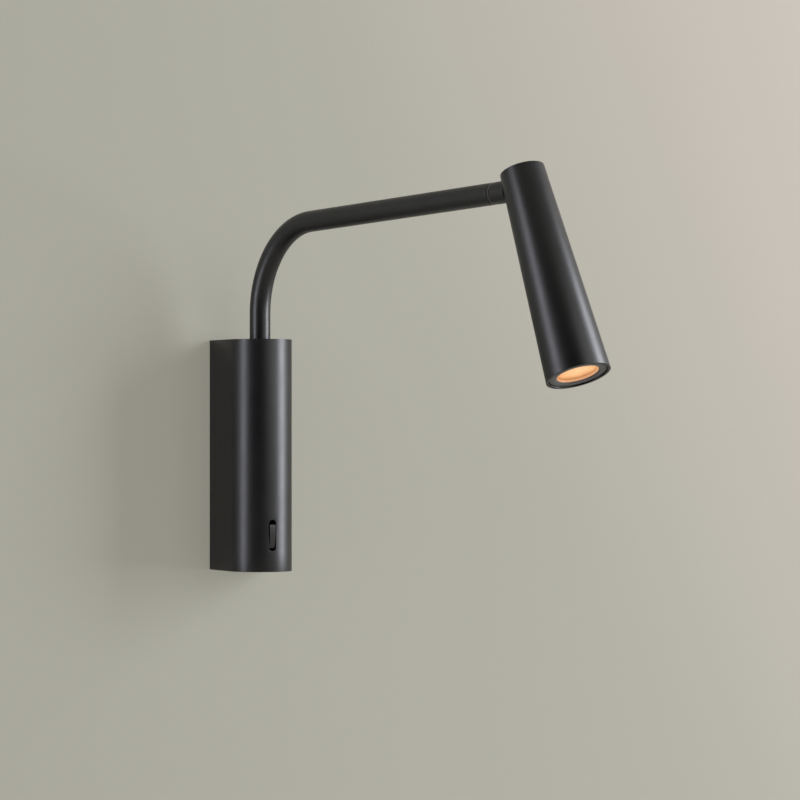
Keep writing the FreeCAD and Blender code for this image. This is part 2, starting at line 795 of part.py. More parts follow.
def make_carrier_screws():
    seat = cap_z - carrier_flange_thickness - seat_gap
    bolts = [screw(m3_radius, carrier_flange_radius - carrier_screw_circle - seat_gap, m3_head_height,
                   carrier_flange_thickness + carrier_screw_bite, Vector(x, y, seat), Z)
             for x, y in carrier_screw_places()]
    return group(bolts)


def make_bush(low):
    return washer(bush_radius - seat_gap, tube_radius + running_gap, low, low + bush_length, 0, -arm_axis_depth)


def make_spring_washer():
    low = spring_top_z - spring_washer_height
    inner = tube_radius + free_gap
    outer = retainer_radius - free_gap
    cone = turned([(inner, low), (outer, spring_top_z - spring_washer_thickness), (outer, spring_top_z),
                   (inner, low + spring_washer_thickness)])
    return cone.translated(Vector(0, -arm_axis_depth, 0))


save("arm_carrier", make_arm_carrier())
save("carrier_screws", make_carrier_screws())
save("upper_bush", make_bush(cap_z - bush_length - seat_gap))
save("lower_bush", make_bush(barrel_bottom_z))
save("thrust_washer", washer(retainer_radius - free_gap, tube_radius + free_gap / 2,
                             washer_top_z - thrust_washer_thickness, washer_top_z, 0, -arm_axis_depth))
save("spring_washer", make_spring_washer())


# ------------------------------------------------------------------ arm, in its own upright frame
def bent_bar(radius, low, end_gap):
    """A round bar up the arm's axis, round the bend and out along the upper run."""
    face = Part.Face(Part.Wire(Part.makeCircle(radius, Vector(0, 0, low))))
    bend_z = arm_corner_z - arm_tangent
    riser = face.extrude(Vector(0, 0, bend_z - low))
    face.translate(Vector(0, 0, bend_z - low))
    bend_centre = Vector(0, -arm_bend_radius, bend_z)
    bend = face.revolve(bend_centre, X, arm_turn)
    along = tilt_axis_point.sub(Vector(0, 0, arm_corner_z))
    along.normalize()
    face.rotate(bend_centre, X, arm_turn)
    run = face.extrude(along * (arm_length - arm_tangent - end_gap))
    return joined([riser, bend, run])


def make_arm_tube():
    outside = bent_bar(tube_radius, tube_bottom_z, tube_end)
    return outside.cut(bent_bar(tube_bore, tube_bottom_z - overrun, tube_end - overrun))


def make_retainer():
    ring = washer(retainer_radius, tube_radius + seat_gap, retainer_bottom_z, retainer_top_z)
    centre = Vector(0, 0, swing_pin_z)
    ring = ring.cut(rod(swing_pin_radius + seat_gap, centre, centre.sub(Y * beyond_all)))
    return ring.cut(rod(retainer_screw_radius + seat_gap, centre, centre.add(Y * beyond_all)))


save("arm_tube", make_arm_tube(), arm_place)
save("arm_shoulder", washer(shoulder_radius, tube_radius + seat_gap, shoulder_z, shoulder_z + shoulder_length),
     arm_place)
save("arm_retainer", make_retainer(), arm_place)
save("retainer_screw", rod(retainer_screw_radius, Vector(0, tube_radius + seat_gap, swing_pin_z),
                           Vector(0, retainer_radius, swing_pin_z)), arm_place)
save("arm_stop_pin", rod(swing_pin_radius, Vector(0, -tube_radius - seat_gap, swing_pin_z),
                         Vector(0, -swing_pin_reach, swing_pin_z)), arm_place)
save("arm_lead", bent_bar(lead_radius, tube_bottom_z, lead_joint), arm_place)


# ------------------------------------------------------------------ swivel: +Y runs back along the arm
def run_rod(radius, near, far):
    """A round bar on the upper run's axis, by distance from the tilt axis."""
    return rod(radius, Vector(0, near, 0), Vector(0, far, 0))


def cross_hole(radius):
    """A hole right across a piece on the tilt axis."""
    return rod(radius, Vector(-beyond_all, 0, 0), Vector(beyond_all, 0, 0))


def run_ring(outer, inner, near, far):
    return run_rod(outer, near, far).cut(run_rod(inner, near - overrun, far + overrun))


def stop_pin(gap):
    start = collar_end - swivel_stop_depth + free_gap - gap
    axis = Vector(0, 0, swivel_stop_circle)
    return rod(swivel_stop_radius + gap, axis.add(Y * start), axis.add(Y * (tube_end + stop_pin_bite)))


def make_end_bush():
    bush = run_ring(tube_bore - seat_gap, spigot_radius + running_gap, tube_end, bush_end)
    return bush.cut(stop_pin(seat_gap))


def make_swivel_ring():
    """Spacer ring between tube and collar; its two steps make the fine grooves."""
    core = run_ring(swivel_core_radius, swivel_stop_circle + swivel_stop_radius + swivel_core_gap,
                    collar_end + face_gap, tube_end - face_gap)
    rim_start = swivel_from_tilt_axis - swivel_ring_width / 2
    rim = run_ring(swivel_ring_radius, swivel_core_radius - swivel_rim_bite, rim_start,
                   rim_start + swivel_ring_width)
    return joined([core, rim])


def make_knuckle():
    """Collar, spigot and tongue in one turned and milled piece."""
    collar = run_rod(tube_radius, 0, collar_end)
    tongue = joined([collar, Part.makeSphere(tube_radius)])
    for side in (-1, 1):
        near, far = sorted((side * tongue_width / 2, side * beyond_all))
        tongue = tongue.cut(block(near, far, -beyond_all, collar_from_tilt_axis, -beyond_all, beyond_all))
    spigot_end = bush_end + swivel_washer_thickness + swivel_nut_length + 4 * face_gap
    knuckle = joined([tongue, run_rod(spigot_radius, 0, spigot_end)])
    inner = swivel_stop_circle - swivel_stop_radius - swivel_stop_side_gap
    outer = swivel_stop_circle + swivel_stop_radius + swivel_stop_side_gap
    clear = math.degrees(math.asin(swivel_stop_radius / swivel_stop_circle))
    groove_half = swivel_limit + clear + swivel_stop_end_play
    deep = collar_end - swivel_stop_depth
    mouth = collar_end + overrun
    corners = [Vector(0, deep, inner), Vector(0, deep, outer), Vector(0, mouth, outer), Vector(0, mouth, inner)]
    section = Part.Face(Part.makePolygon(corners + [corners[0]]))
    section.rotate(Vector(0, 0, 0), Y, -groove_half)
    knuckle = knuckle.cut(section.revolve(Vector(0, 0, 0), Y, 2 * groove_half))
    knuckle = knuckle.cut(run_rod(lead_bore_radius, -overrun, spigot_end + overrun))
    half = tongue_slot_width / 2
    knuckle = knuckle.cut(block(-half, half, -beyond_all, lead_bore_radius, -beyond_all, lead_bore_radius))
    return knuckle.cut(cross_hole(tilt_pin_radius + running_gap))


save("end_bush", make_end_bush(), run_place)
save("roll_stop_pin", stop_pin(0), run_place)
save("swivel_ring", make_swivel_ring(), run_place)
save("knuckle", make_knuckle(), run_place)
save("roll_washer", run_ring(swivel_nut_radius, spigot_radius + running_gap, washer_start,
                             washer_start + swivel_washer_thickness), run_place)
save("roll_nut", run_ring(swivel_nut_radius, spigot_radius + seat_gap, nut_start,
                          nut_start + swivel_nut_length), run_place)
save("knuckle_lead", run_rod(lead_radius, lead_break, lead_joint - seat_gap), run_place)


# ------------------------------------------------------------------ head: +Z runs up its axis, +Y to the wall
def tongue_sweep(width):
    """Room for the tongue from square across the head to straight up out of its top."""
    reach = tube_radius + head_slot_gap
    far = head_mouth_radius * 2
    half = width / 2
    return joined([rod(reach, Vector(-half, 0, 0), Vector(half, 0, 0)),
                   block(-half, half, 0, far, -reach, far), block(-half, half, -reach, far, 0, far)])


def make_head_shell():
    cone = taper(head_mouth_radius, head_top_radius, -head_below_axis, head_above_axis)
    cone = rounded(cone, head_edge_round, lambda p: True)
    low = -head_below_axis - overrun
    high = head_above_axis + overrun
    inside = taper(head_inner(low), head_inner(high), low, high)
    shell = cone.cut(inside).cut(tongue_sweep(head_slot_width))
    return shell.cut(rod(m3_radius + seat_gap, Vector(0, 0, yoke_screw_z), Vector(0, beyond_all, yoke_screw_z)))


def make_head_cap():
    cap = upright(head_inner(head_above_axis) - seat_gap, head_above_axis - head_cap_thickness, head_above_axis)
    return cap.cut(tongue_sweep(head_slot_width))


def make_yoke():
    """Plug in the head's narrow end, with two cheeks that hold the tilt pins."""
    top = head_above_axis - head_cap_thickness - seat_gap
    yoke = in_head(-yoke_below_axis, top, seat_gap)
    yoke = yoke.cut(tongue_sweep(2 * cheek_gap))
    collar_room = tongue_sweep(head_slot_width).cut(cross_hole(collar_from_tilt_axis - free_gap))
    yoke = yoke.cut(collar_room)
    yoke = yoke.cut(cross_hole(tilt_pin_radius + seat_gap))
    yoke = yoke.cut(upright(lead_bore_radius, -yoke_below_axis - overrun, 0))
    return yoke.cut(rod(m3_radius + seat_gap, Vector(0, lead_bore_radius, yoke_screw_z),
                        Vector(0, beyond_all, yoke_screw_z)))


def both_sides(make):
    return group([make(-1), make(1)])


def make_yoke_screw():
    end = head_outer(yoke_screw_z) - free_gap
    start = end - yoke_screw_depth
    bolt = rod(m3_radius, Vector(0, start, yoke_screw_z), Vector(0, end, yoke_screw_z))
    drive = rod(m3_radius * yoke_drive_share, Vector(0, end - yoke_drive_depth, yoke_screw_z),
                Vector(0, end + overrun, yoke_screw_z))
    return bolt.cut(drive)


def make_heat_sink():
    """Tapered slug with a solid front and fins behind, bored for the lead."""
    sink = in_head(sink_face, sink_back, seat_gap)
    sink = sink.cut(upright(lead_bore_radius, sink_face - overrun, sink_back + overrun))
    slot = block(heat_sink_hub, head_mouth_radius * 2, -heat_sink_slot / 2, heat_sink_slot / 2,
                 sink_face + heat_sink_base, sink_back + overrun)
    for i in range(heat_sink_fins):
        cut = slot.copy()
        cut.rotate(Vector(0, 0, 0), Z, 360 * i / heat_sink_fins)
        sink = sink.cut(cut)
    screw_end = sink_face + board_screw_length - board_thickness
    for side in (-1, 1):
        x = side * board_screw_circle
        sink = sink.cut(upright(m2_radius + seat_gap, sink_face - overrun, screw_end, x))
    return sink


def make_led_board():
    board = upright(board_radius, emitter_back + seat_gap, board_back)
    for side in (-1, 1):
        board = board.cut(upright(m2_radius + seat_gap, emitter_back - overrun, board_back + overrun,
                                  side * board_screw_circle))
    return board


def make_board_screws():
    seat = emitter_back + seat_gap
    return group([screw(m2_radius, m2_head_radius, m2_head_height - seat_gap, board_screw_length - seat_gap,
                        Vector(side * board_screw_circle, 0, seat - seat_gap), Z) for side in (-1, 1)])


def make_reflector():
    flange_top = reflector_face + reflector_flange
    top = reflector_back - seat_gap
    return turned([(reflector_top_radius, top), (reflector_mouth_radius, reflector_face),
                   (reflector_flange_radius, reflector_face), (reflector_flange_radius, flange_top),
                   (reflector_mouth_radius + reflector_wall, flange_top),
                   (reflector_top_radius + reflector_wall, top)])


def make_lens():
    return upright(head_inner(lens_back) - free_gap, gasket_back, lens_back - seat_gap)


def make_gasket():
    outer = head_inner(gasket_back) - free_gap
    return washer(outer, outer - gasket_width, ring_back + seat_gap, gasket_back - seat_gap)


def make_front_ring():
    outer = head_inner(ring_back) - ring_edge_gap
    return turned([(aperture_radius + aperture_chamfer, ring_face), (outer, ring_face), (outer, ring_back),
                   (aperture_radius, ring_back), (aperture_radius, ring_face + aperture_chamfer)])


def tilt_pin(side):
    return rod(tilt_pin_radius, Vector(side * tilt_pin_inner, 0, 0), Vector(side * tilt_pin_outer, 0, 0))


def tilt_washer(side):
    near = side * (tongue_width / 2 + face_gap / 2)
    far = side * (tongue_width / 2 + face_gap / 2 + tilt_washer_thickness)
    disc = rod(tilt_washer_radius, Vector(near, 0, 0), Vector(far, 0, 0))
    return disc.cut(cross_hole(tilt_pin_radius + running_gap))


save("head_shell", make_head_shell(), head_place)
save("head_cap", make_head_cap(), head_place)
save("head_yoke", make_yoke(), head_place)
save("tilt_pins", both_sides(tilt_pin), head_place)
save("tilt_washers", both_sides(tilt_washer), head_place)
save("yoke_screw", make_yoke_screw(), head_place)
save("heat_sink", make_heat_sink(), head_place)
save("led_board", make_led_board(), head_place)
save("led_emitter", upright(emitter_radius, emitter_face + seat_gap, emitter_back), head_place)
save("board_screws", make_board_screws(), head_place)
save("reflector", make_reflector(), head_place)
save("lens", make_lens(), head_place)
save("lens_gasket", make_gasket(), head_place)
save("front_ring", make_front_ring(), head_place)
save("head_lead", upright(lead_radius, board_back + seat_gap, -lead_break), head_place)
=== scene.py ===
import math

import bpy
from mathutils import Matrix, Vector


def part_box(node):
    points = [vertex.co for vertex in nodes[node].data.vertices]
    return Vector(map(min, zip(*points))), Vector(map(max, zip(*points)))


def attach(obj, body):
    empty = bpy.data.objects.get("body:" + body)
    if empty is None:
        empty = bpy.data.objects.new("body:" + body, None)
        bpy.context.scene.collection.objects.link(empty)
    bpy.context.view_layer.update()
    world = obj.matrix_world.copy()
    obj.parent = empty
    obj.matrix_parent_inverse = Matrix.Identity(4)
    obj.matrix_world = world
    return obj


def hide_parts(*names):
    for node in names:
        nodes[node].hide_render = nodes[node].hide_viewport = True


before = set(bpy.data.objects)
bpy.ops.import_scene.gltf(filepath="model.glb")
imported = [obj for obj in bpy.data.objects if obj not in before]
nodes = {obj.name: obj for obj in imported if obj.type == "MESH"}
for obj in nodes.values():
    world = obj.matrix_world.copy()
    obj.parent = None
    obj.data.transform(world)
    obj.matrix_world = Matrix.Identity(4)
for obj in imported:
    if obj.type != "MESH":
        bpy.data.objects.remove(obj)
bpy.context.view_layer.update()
scene = bpy.context.scene
scene.view_settings.view_transform = "Standard"
mm = 0.001

print("frame loaded:", len(nodes), "nodes")


# colours are written as sRGB hex, the shaders want them linear
def linear(hexColour):
    parts = [int(hexColour[i:i + 2], 16) / 255 for i in (1, 3, 5)]
    return tuple(p / 12.92 if p <= 0.04045 else ((p + 0.055) / 1.055) ** 2.4 for p in parts) + (1.0,)


# adds one node, sets its fields and inputs, and links what is given
def addNode(tree, kind, fields=None, values=None, links=None):
    node = tree.nodes.new(kind)
    for field, value in (fields or {}).items():
        setattr(node, field, value)
    for socket, value in (values or {}).items():
        node.inputs[socket].default_value = value
    for socket, source in (links or {}).items():
        tree.links.new(source, node.inputs[socket])
    return node


def newMaterial(name):
    material = bpy.data.materials.new(name)
    material.use_nodes = True
    material.node_tree.nodes.clear()
    return material, material.node_tree


# how the noise under every finish is spread over its two tones and its gloss
grainLook = {"toneSpan": (0.3, 0.7), "glossSpan": (0.7, 1.3), "cloudDetail": 4.0, "cloudRoughness": 0.6,
             "grainDetail": 2.0, "grainRoughness": 0.5}


# a finish with two close tones, uneven gloss and a fine surface
def makeFinish(name, look):
    material, tree = newMaterial(name)
    place = addNode(tree, "ShaderNodeTexCoord").outputs["Object"]
    if "stretch" in look:  # turned or drawn metal, the grain runs one way
        place = addNode(tree, "ShaderNodeMapping", values={"Scale": look["stretch"]},
                        links={"Vector": place}).outputs["Vector"]
    cloud = addNode(tree, "ShaderNodeTexNoise",
                    values={"Scale": 1 / (look["cloudSize"] * mm), "Detail": grainLook["cloudDetail"],
                            "Roughness": grainLook["cloudRoughness"]}, links={"Vector": place}).outputs["Fac"]
    grain = addNode(tree, "ShaderNodeTexNoise",
                    values={"Scale": 1 / (look["grainSize"] * mm), "Detail": grainLook["grainDetail"],
                            "Roughness": grainLook["grainRoughness"]}, links={"Vector": place}).outputs["Fac"]
    tone = addNode(tree, "ShaderNodeValToRGB", links={"Fac": cloud})
    tone.color_ramp.elements[0].position, tone.color_ramp.elements[1].position = grainLook["toneSpan"]
    tone.color_ramp.elements[0].color = linear(look["deep"])
    tone.color_ramp.elements[1].color = linear(look["light"])
    both = addNode(tree, "ShaderNodeMath", {"operation": "ADD"}, links={0: cloud, 1: grain}).outputs[0]
    gloss = addNode(tree, "ShaderNodeMapRange",
                    values={"From Min": grainLook["glossSpan"][0], "From Max": grainLook["glossSpan"][1],
                            "To Min": look["roughness"][0], "To Max": look["roughness"][1]},
                    links={"Value": both})
    relief = addNode(tree, "ShaderNodeBump",
                     values={"Strength": look.get("reliefStrength", 0.5), "Distance": look["relief"] * mm},
                     links={"Height": grain})
    # an optional glow is painted light: only the aperture trim has one, for the lens's light it reflects
    shader = addNode(tree, "ShaderNodeBsdfPrincipled",
                     values={"Metallic": look.get("metal", 0.0),
                             "Specular IOR Level": look.get("specular", 0.5),
                             "Emission Color": linear(look.get("glow", "#000000")),
                             "Emission Strength": look.get("paintedGlowStrength", 0.0)},
                     links={"Base Color": tone.outputs["Color"], "Roughness": gloss.outputs["Result"],
                            "Normal": relief.outputs["Normal"]})
    addNode(tree, "ShaderNodeOutputMaterial", links={"Surface": shader.outputs["BSDF"]})
    return material


def dress(material, *names):
    for name in names:
        piece = nodes[name]
        if not piece.data.materials:
            piece.data.materials.append(material)
        for slot in piece.material_slots:
            slot.material = material


# satin black powder coat: wide soft streaks, never quite even, with a fine orange peel
satinBlack = makeFinish("satinBlackPowderCoat", {
    "deep": "#0b0a0b", "light": "#111011", "roughness": (0.36, 0.44), "specular": 0.42,
    "cloudSize": 14.0, "grainSize": 0.45, "relief": 0.012, "reliefStrength": 0.35})
# charcoal paint on the front ring: flatter and greyer than the body
charcoalPaint = makeFinish("charcoalPaint", {
    "deep": "#505052", "light": "#5a5a5b", "roughness": (0.45, 0.55), "specular": 0.5,
    "cloudSize": 6.0, "grainSize": 0.3, "relief": 0.01})
# black chrome on the swivel ring: small hard glints between the two grooves
blackChrome = makeFinish("blackChrome", {
    "deep": "#5f5c5d", "light": "#706c6d", "roughness": (0.16, 0.24), "metal": 1.0,
    "cloudSize": 4.0, "grainSize": 0.2, "relief": 0.004})
# blackened steel screws: dark with a dull metal shine on the worn edges
blackenedSteel = makeFinish("blackenedSteel", {
    "deep": "#1b1a1b", "light": "#343132", "roughness": (0.3, 0.45), "metal": 0.8,
    "cloudSize": 1.5, "grainSize": 0.15, "relief": 0.01})
# zinc plate: pale, slightly mottled and a little blue
zincPlate = makeFinish("zincPlatedSteel", {
    "deep": "#a9adb0", "light": "#c6c9ca", "roughness": (0.25, 0.42), "metal": 1.0,
    "cloudSize": 5.0, "grainSize": 0.6, "relief": 0.01})
# spring steel: darker and straw tinted from tempering
springSteel = makeFinish("temperedSpringSteel", {
    "deep": "#6d6a66", "light": "#8b8780", "roughness": (0.28, 0.4), "metal": 1.0,
    "cloudSize": 3.0, "grainSize": 0.3, "relief": 0.006})
# moulded rubber: dull, dusty and softly pitted
blackRubber = makeFinish("blackRubber", {
    "deep": "#171717", "light": "#232222", "roughness": (0.7, 0.85), "specular": 0.35,
    "cloudSize": 3.0, "grainSize": 0.35, "relief": 0.03})
# turned brass: warm, with fine rings from the tool
turnedBrass = makeFinish("turnedBrass", {
    "deep": "#b08a47", "light": "#cfa862", "roughness": (0.22, 0.36), "metal": 1.0,
    "stretch": (0.3, 0.3, 3.0), "cloudSize": 2.0, "grainSize": 0.25, "relief": 0.008})
# nylon: milky and slightly waxy
whiteNylon = makeFinish("milkyNylon", {
    "deep": "#d9d6cb", "light": "#e6e3da", "roughness": (0.4, 0.5), "specular": 0.45,
    "cloudSize": 4.0, "grainSize": 0.4, "relief": 0.01})
# moulded white plastic of the driver's case and the terminal block
whitePlastic = makeFinish("mouldedWhitePlastic", {
    "deep": "#dddcd7", "light": "#e8e7e2", "roughness": (0.42, 0.55), "specular": 0.5,
    "cloudSize": 9.0, "grainSize": 0.5, "relief": 0.015})
# green solder mask: glossy over a woven glass board
greenBoard = makeFinish("greenSolderMask", {
    "deep": "#1d5a35", "light": "#27693f", "roughness": (0.22, 0.34), "specular": 0.5,
    "cloudSize": 4.0, "grainSize": 0.5, "relief": 0.006})
# white solder mask on the board that carries the light source
whiteBoard = makeFinish("whiteSolderMask", {
    "deep": "#dedfdb", "light": "#ecece8", "roughness": (0.25, 0.38), "specular": 0.5,
    "cloudSize": 4.0, "grainSize": 0.4, "relief": 0.006})
# dark tape and sleeves on the driver's parts
darkComponent = makeFinish("darkWoundParts", {
    "deep": "#24242a", "light": "#33333a", "roughness": (0.35, 0.5), "specular": 0.5,
    "cloudSize": 3.0, "grainSize": 0.5, "relief": 0.01})
# black moulded plastic of the switch: finely sparked, a touch shinier than the coat
blackPlastic = makeFinish("sparkedBlackPlastic", {
    "deep": "#131212", "light": "#1a1919", "roughness": (0.3, 0.4), "specular": 0.6,
    "cloudSize": 5.0, "grainSize": 0.25, "relief": 0.015})
# wire sleeves: soft gloss of extruded plastic
wireLooks = {"brown": ("#5b3522", "#6a4230"), "blue": ("#2b5c9c", "#3a6fb2"), "green": ("#3f8c3a", "#8fae3c"),
             "black": ("#151515", "#202020")}
wireFinish = {}
for wireName, (deepTone, lightTone) in wireLooks.items():
    wireFinish[wireName] = makeFinish(wireName + "WireSleeve", {
        "deep": deepTone, "light": lightTone, "roughness": (0.35, 0.45), "specular": 0.5,
        "cloudSize": 6.0, "grainSize": 0.5, "relief": 0.01})
# cast aluminium: dull, with a fine sandy skin
castAluminium = makeFinish("castAluminium", {
    "deep": "#85878a", "light": "#a0a2a4", "roughness": (0.45, 0.62), "metal": 1.0,
    "cloudSize": 5.0, "grainSize": 0.5, "relief": 0.05})
# bare machined aluminium: brighter, with tool lines along one way
bareAluminium = makeFinish("machinedAluminium", {
    "deep": "#a6a8ab", "light": "#c3c5c7", "roughness": (0.25, 0.4), "metal": 1.0,
    "stretch": (0.4, 0.4, 3.0), "cloudSize": 3.0, "grainSize": 0.3, "relief": 0.008})
# yellow phosphor of the light source
phosphor = makeFinish("yellowPhosphor", {
    "deep": "#d8b24a", "light": "#e6c665", "roughness": (0.5, 0.65), "specular": 0.4,
    "cloudSize": 2.0, "grainSize": 0.2, "relief": 0.02})
# vacuum-coated mirror of the reflector cone
mirrorCoat = makeFinish("mirrorCoat", {
    "deep": "#c9c9c7", "light": "#dcdcda", "roughness": (0.06, 0.14), "metal": 1.0,
    "cloudSize": 3.0, "grainSize": 0.8, "relief": 0.02})


# the lit lens: warm cream, deeper orange towards its rim, with the cone's mottling showing through
def makeLitLens(look):
    material, tree = newMaterial("litFrostedLens")
    place = addNode(tree, "ShaderNodeTexCoord").outputs["Object"]
    fromMiddle = addNode(tree, "ShaderNodeVectorMath", {"operation": "DISTANCE"},
                         values={1: look["middle"]}, links={0: place}).outputs["Value"]
    mottle = addNode(tree, "ShaderNodeTexNoise",
                     values={"Scale": 1 / (look["mottleSize"] * mm), "Detail": look["mottleDetail"],
                             "Roughness": look["mottleRoughness"]}, links={"Vector": place}).outputs["Fac"]
    spread = addNode(tree, "ShaderNodeMapRange",
                     values={"From Min": 0.0, "From Max": look["radius"] * mm,
                             "To Min": 0.0, "To Max": look["reach"]},
                     links={"Value": fromMiddle}).outputs["Result"]
    uneven = addNode(tree, "ShaderNodeMapRange",
                     values={"From Min": grainLook["toneSpan"][0], "From Max": grainLook["toneSpan"][1],
                             "To Min": -look["mottleDepth"], "To Max": look["mottleDepth"]},
                     links={"Value": mottle}).outputs["Result"]
    where = addNode(tree, "ShaderNodeMath", {"operation": "ADD", "use_clamp": True},
                    links={0: spread, 1: uneven}).outputs[0]
    glow = addNode(tree, "ShaderNodeValToRGB", links={"Fac": where})
    ramp = glow.color_ramp
    ramp.elements[0].position, ramp.elements[0].color = 0.0, linear(look["core"])
    ramp.elements[1].position, ramp.elements[1].color = 1.0, linear(look["rim"])
    ramp.elements.new(look["bodyAt"]).color = linear(look["body"])
    relief = addNode(tree, "ShaderNodeBump",
                     values={"Strength": look["reliefStrength"], "Distance": look["relief"] * mm},
                     links={"Height": mottle})
    shader = addNode(tree, "ShaderNodeBsdfPrincipled",
                     values={"Roughness": look["roughness"], "Specular IOR Level": look["specular"],
                             "Emission Strength": look["strength"]},
                     links={"Base Color": glow.outputs["Color"], "Emission Color": glow.outputs["Color"],
                            "Normal": relief.outputs["Normal"]})
    addNode(tree, "ShaderNodeOutputMaterial", links={"Surface": shader.outputs["BSDF"]})
    return material


lensLow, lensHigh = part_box("lens")
offCentre = Vector((2.0, 0.0, 1.0)) * mm  # the brightest spot, from the lens's middle
litLens = makeLitLens({"middle": (lensLow + lensHigh) / 2 + offCentre, "radius": 12.0, "reach": 0.85,
                       "mottleSize": 3.0, "mottleDetail": 3.0, "mottleRoughness": 0.55, "mottleDepth": 0.14,
                       "core": "#eebd8c", "body": "#e0aa77", "bodyAt": 0.55, "rim": "#c48a59",
                       "strength": 0.76, "roughness": 0.35, "specular": 0.4,
                       "relief": 0.02, "reliefStrength": 0.4})
# the thin trim inside the aperture: its warm copper tone and its glow are painted reflection of the lens's
# light
paintedReflectionTrim = makeFinish("trimPaintedReflection", {
    "deep": "#7d5138", "light": "#8f6145", "roughness": (0.3, 0.42), "metal": 0.6,
    "cloudSize": 2.0, "grainSize": 0.25, "relief": 0.006, "glow": "#dcaa7e", "paintedGlowStrength": 0.75})

dress(satinBlack, "top_cap", "bottom_cap", "arm_tube", "knuckle", "head_cap")
dress(blackChrome, "swivel_ring")
dress(blackenedSteel, "housing_screws", "yoke_screw")
dress(zincPlate, "wall_plate", "earth_screw", "terminal_screws", "driver_screws", "switch_bracket",
      "carrier_screws", "arm_retainer", "retainer_screw", "roll_nut", "board_screws")
dress(springSteel, "spring_washer", "arm_stop_pin", "roll_stop_pin", "tilt_pins")
dress(blackRubber, "cable_grommet", "lens_gasket")
dress(turnedBrass, "terminal_sleeves", "arm_shoulder", "switch_terminals", "end_bush")
dress(whiteNylon, "upper_bush", "lower_bush", "thrust_washer", "roll_washer", "tilt_washers")
dress(whitePlastic, "terminal_block", "driver_case", "driver_lid")
dress(greenBoard, "driver_board")
dress(whiteBoard, "led_board")
dress(darkComponent, "driver_components")
dress(blackPlastic, "switch_body", "rocker")
dress(wireFinish["brown"], "switch_wires")
dress(wireFinish["blue"], "neutral_wire")
dress(wireFinish["green"], "earth_wire")
dress(wireFinish["black"], "lamp_lead_base", "arm_lead", "knuckle_lead", "head_lead")
dress(castAluminium, "arm_carrier", "head_yoke")
dress(bareAluminium, "heat_sink")
dress(phosphor, "led_emitter")
dress(mirrorCoat, "reflector")
dress(litLens, "lens")
print("finishes made:", len(bpy.data.materials))

# where the arm and the head stand at rest, in metres and degrees
armLook = {"axisDepth": 31.8, "swing": 12.5, "corner": 131.0, "rise": 2.5, "length": 241.0, "headTilt": 22.65}
armPlace = (Matrix.Translation((0, -armLook["axisDepth"] * mm, 0))
            @ Matrix.Rotation(math.radians(armLook["swing"]), 4, "Z"))
riseAngle = math.radians(armLook["rise"])
tiltPoint = Vector((0, -armLook["length"] * math.cos(riseAngle),
                    armLook["corner"] + armLook["length"] * math.sin(riseAngle))) * mm
headPlace = (armPlace @ Matrix.Translation(tiltPoint)
             @ Matrix.Rotation(-math.radians(armLook["headTilt"]), 4, "X"))


# selects the vertices that pass a test and opens edit mode on them
def pickVertices(piece, test):
    bpy.ops.object.mode_set(mode="EDIT")
    bpy.ops.mesh.select_mode(type="VERT")
    bpy.ops.mesh.select_all(action="DESELECT")
    bpy.ops.object.mode_set(mode="OBJECT")
    for vertex in piece.data.vertices:
        vertex.select = test(vertex.co)
    bpy.ops.object.mode_set(mode="EDIT")


def useModifier(piece, kind, fields):
    bpy.ops.object.select_all(action="DESELECT")
    piece.select_set(True)
    bpy.context.view_layer.objects.active = piece
    modifier = piece.modifiers.new(kind.lower(), kind)
    for field, value in fields.items():
        setattr(modifier, field, value)
    bpy.ops.object.modifier_apply(modifier=modifier.name)


# cuts a tool out of a piece and throws the tool away
def cutWith(piece, tool):
    useModifier(piece, "BOOLEAN", {"operation": "DIFFERENCE", "solver": "EXACT", "object": tool})
    bpy.data.objects.remove(tool)


# freezes a new piece's place into its mesh, so that its object sits at the origin
def settle(piece, place=Matrix.Identity(4)):
    bpy.ops.object.select_all(action="DESELECT")
    piece.select_set(True)
    bpy.context.view_layer.objects.active = piece
    piece.matrix_world = place @ piece.matrix_world
    bpy.ops.object.transform_apply(location=True, rotation=True, scale=True)


# from which angle an edge is rounded, and up to which one it is shaded smooth
edgeLook = {"segments": 3, "roundFrom": 35, "smoothTo": 32}
weldGap = 0.001 * mm
pickSlack = 0.01


# rounds a piece's sharp edges as the paint does, and shades it
def softenEdges(piece, width):
    useModifier(piece, "BEVEL", {"width": width * mm, "segments": edgeLook["segments"],
                                 "limit_method": "ANGLE", "angle_limit": math.radians(edgeLook["roundFrom"]),
                                 "use_clamp_overlap": True, "harden_normals": False})
    bpy.ops.object.shade_smooth_by_angle(angle=math.radians(edgeLook["smoothTo"]))


# the wall box: half-round front, flat sides back to the wall, and the switch's round-ended slot
boxLook = {"half": 18.4, "height": 134.0, "axisDepth": 31.8, "wall": 2.0, "segments": 160, "edge": 0.4,
           "slotWidth": 4.4, "slotHeight": 18.0, "slotLevel": -46.0, "slotMargin": 1.0, "slotSegments": 50,
           "slotCut": 12.0}


